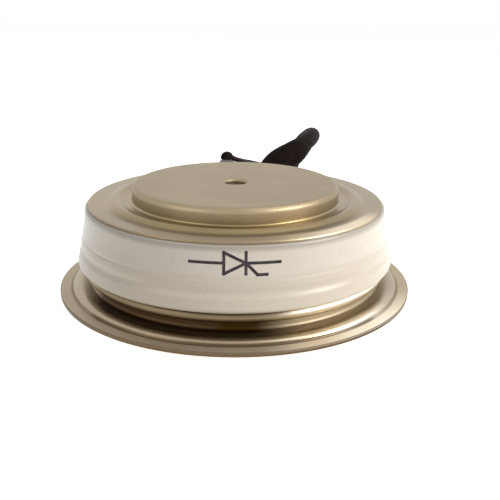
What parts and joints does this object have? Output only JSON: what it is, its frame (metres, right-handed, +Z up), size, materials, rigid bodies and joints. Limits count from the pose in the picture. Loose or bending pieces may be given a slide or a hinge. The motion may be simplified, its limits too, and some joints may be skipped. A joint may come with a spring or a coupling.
{
  "type": "disc thyristor",
  "caption": "Press-pack disc thyristor: ribbed-foot ceramic ring between thin metal flanges, flat contact pole on each side, sleeved gate lead with push-on terminals.",
  "frame": {"origin": "centre of the anode contact face, where the device stands", "axes": "+Z up the stack from the anode contact face to the cathode contact face; the gate lead leaves towards +Y; -Y faces the camera of the picture"},
  "size_m": [0.0595, 0.1145, 0.022],
  "materials": {
    "nickel_plate": "fine-turned nickel-plated copper, satin",
    "nickel_sheet": "bright formed nickel-plated sheet",
    "glazed_alumina": "glossy off-white glaze",
    "bare_alumina": "matt white",
    "silver": "soft silver",
    "molybdenum": "ground grey metal",
    "silicon": "dark polished",
    "silicone": "matt translucent white",
    "white_polymer": "matt white",
    "spring_steel": "plain steel",
    "tinned_tab": "dull tinned",
    "black_sleeve": "shrunk sleeve, satin black",
    "black_lead": "satin black sleeve",
    "black_wire": "black insulation",
    "grey_tie": "matt dark grey nylon",
    "white_wire": "white insulation",
    "red_wire": "red insulation",
    "clear_cover": "milky insulating cover"
  },
  "bodies": {
    "root": {"anode_pole": "nickel_plate", "anode_sheet": "nickel_sheet", "seal_sheet": "nickel_sheet", "ceramic_ring": "glazed_alumina", "cathode_lid": "nickel_sheet", "cathode_pole": "nickel_plate", "anode_shim": "silver", "anode_moly_disc": "molybdenum", "silicon_wafer": "silicon", "edge_seal": "silicone", "cathode_moly_disc": "molybdenum", "cathode_shim": "silver", "centring_ring": "white_polymer", "gate_cup": "bare_alumina", "gate_pin": "silver", "gate_springs": "spring_steel", "gate_lead": "silver", "gate_lead_sleeve": "white_polymer", "gate_tube": "nickel_sheet", "cathode_tab": "tinned_tab", "tab_sleeve": "black_sleeve", "cathode_wire": "black_wire", "lead_boot": "black_sleeve", "lead_run": "black_lead", "lead_coil": "black_lead", "lead_tail": "black_lead", "coil_tie": "grey_tie", "gate_tail": "white_wire", "cathode_tail": "red_wire", "gate_terminal": "clear_cover", "cathode_terminal": "clear_cover"}
  },
  "joints": []
}
